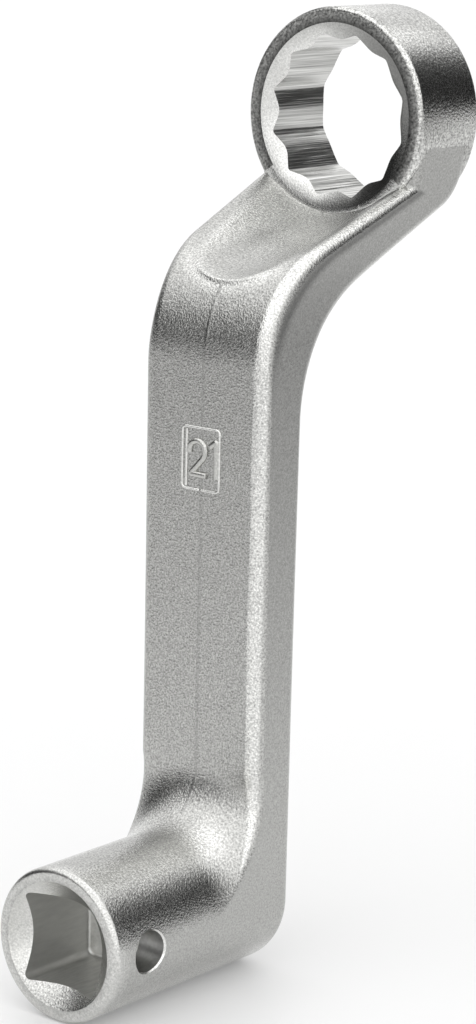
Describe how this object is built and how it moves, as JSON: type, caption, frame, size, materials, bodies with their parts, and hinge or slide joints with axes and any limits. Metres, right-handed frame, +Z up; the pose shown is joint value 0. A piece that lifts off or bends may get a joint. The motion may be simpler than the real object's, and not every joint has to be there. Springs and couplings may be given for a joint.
{
  "type": "camber adjustment wrench",
  "caption": "Cranked forged wrench with a 12-point ring on a bent neck and a square drive boss that stands on the other end of a flat shank.",
  "frame": {"origin": "under the middle of the bounding box, level with the lowest line of the heel", "axes": "+Z up the shank from the drive boss to the ring, as in the picture, -Y the way the drive boss points, X across the shank's width with the cross hole on the +X side"},
  "size_m": [0.0314, 0.072, 0.1379],
  "materials": {
    "satin_chrome": "satin chrome plate over a finely blasted forging"
  },
  "bodies": {
    "root": {"wrench_body": "satin_chrome"}
  },
  "joints": []
}
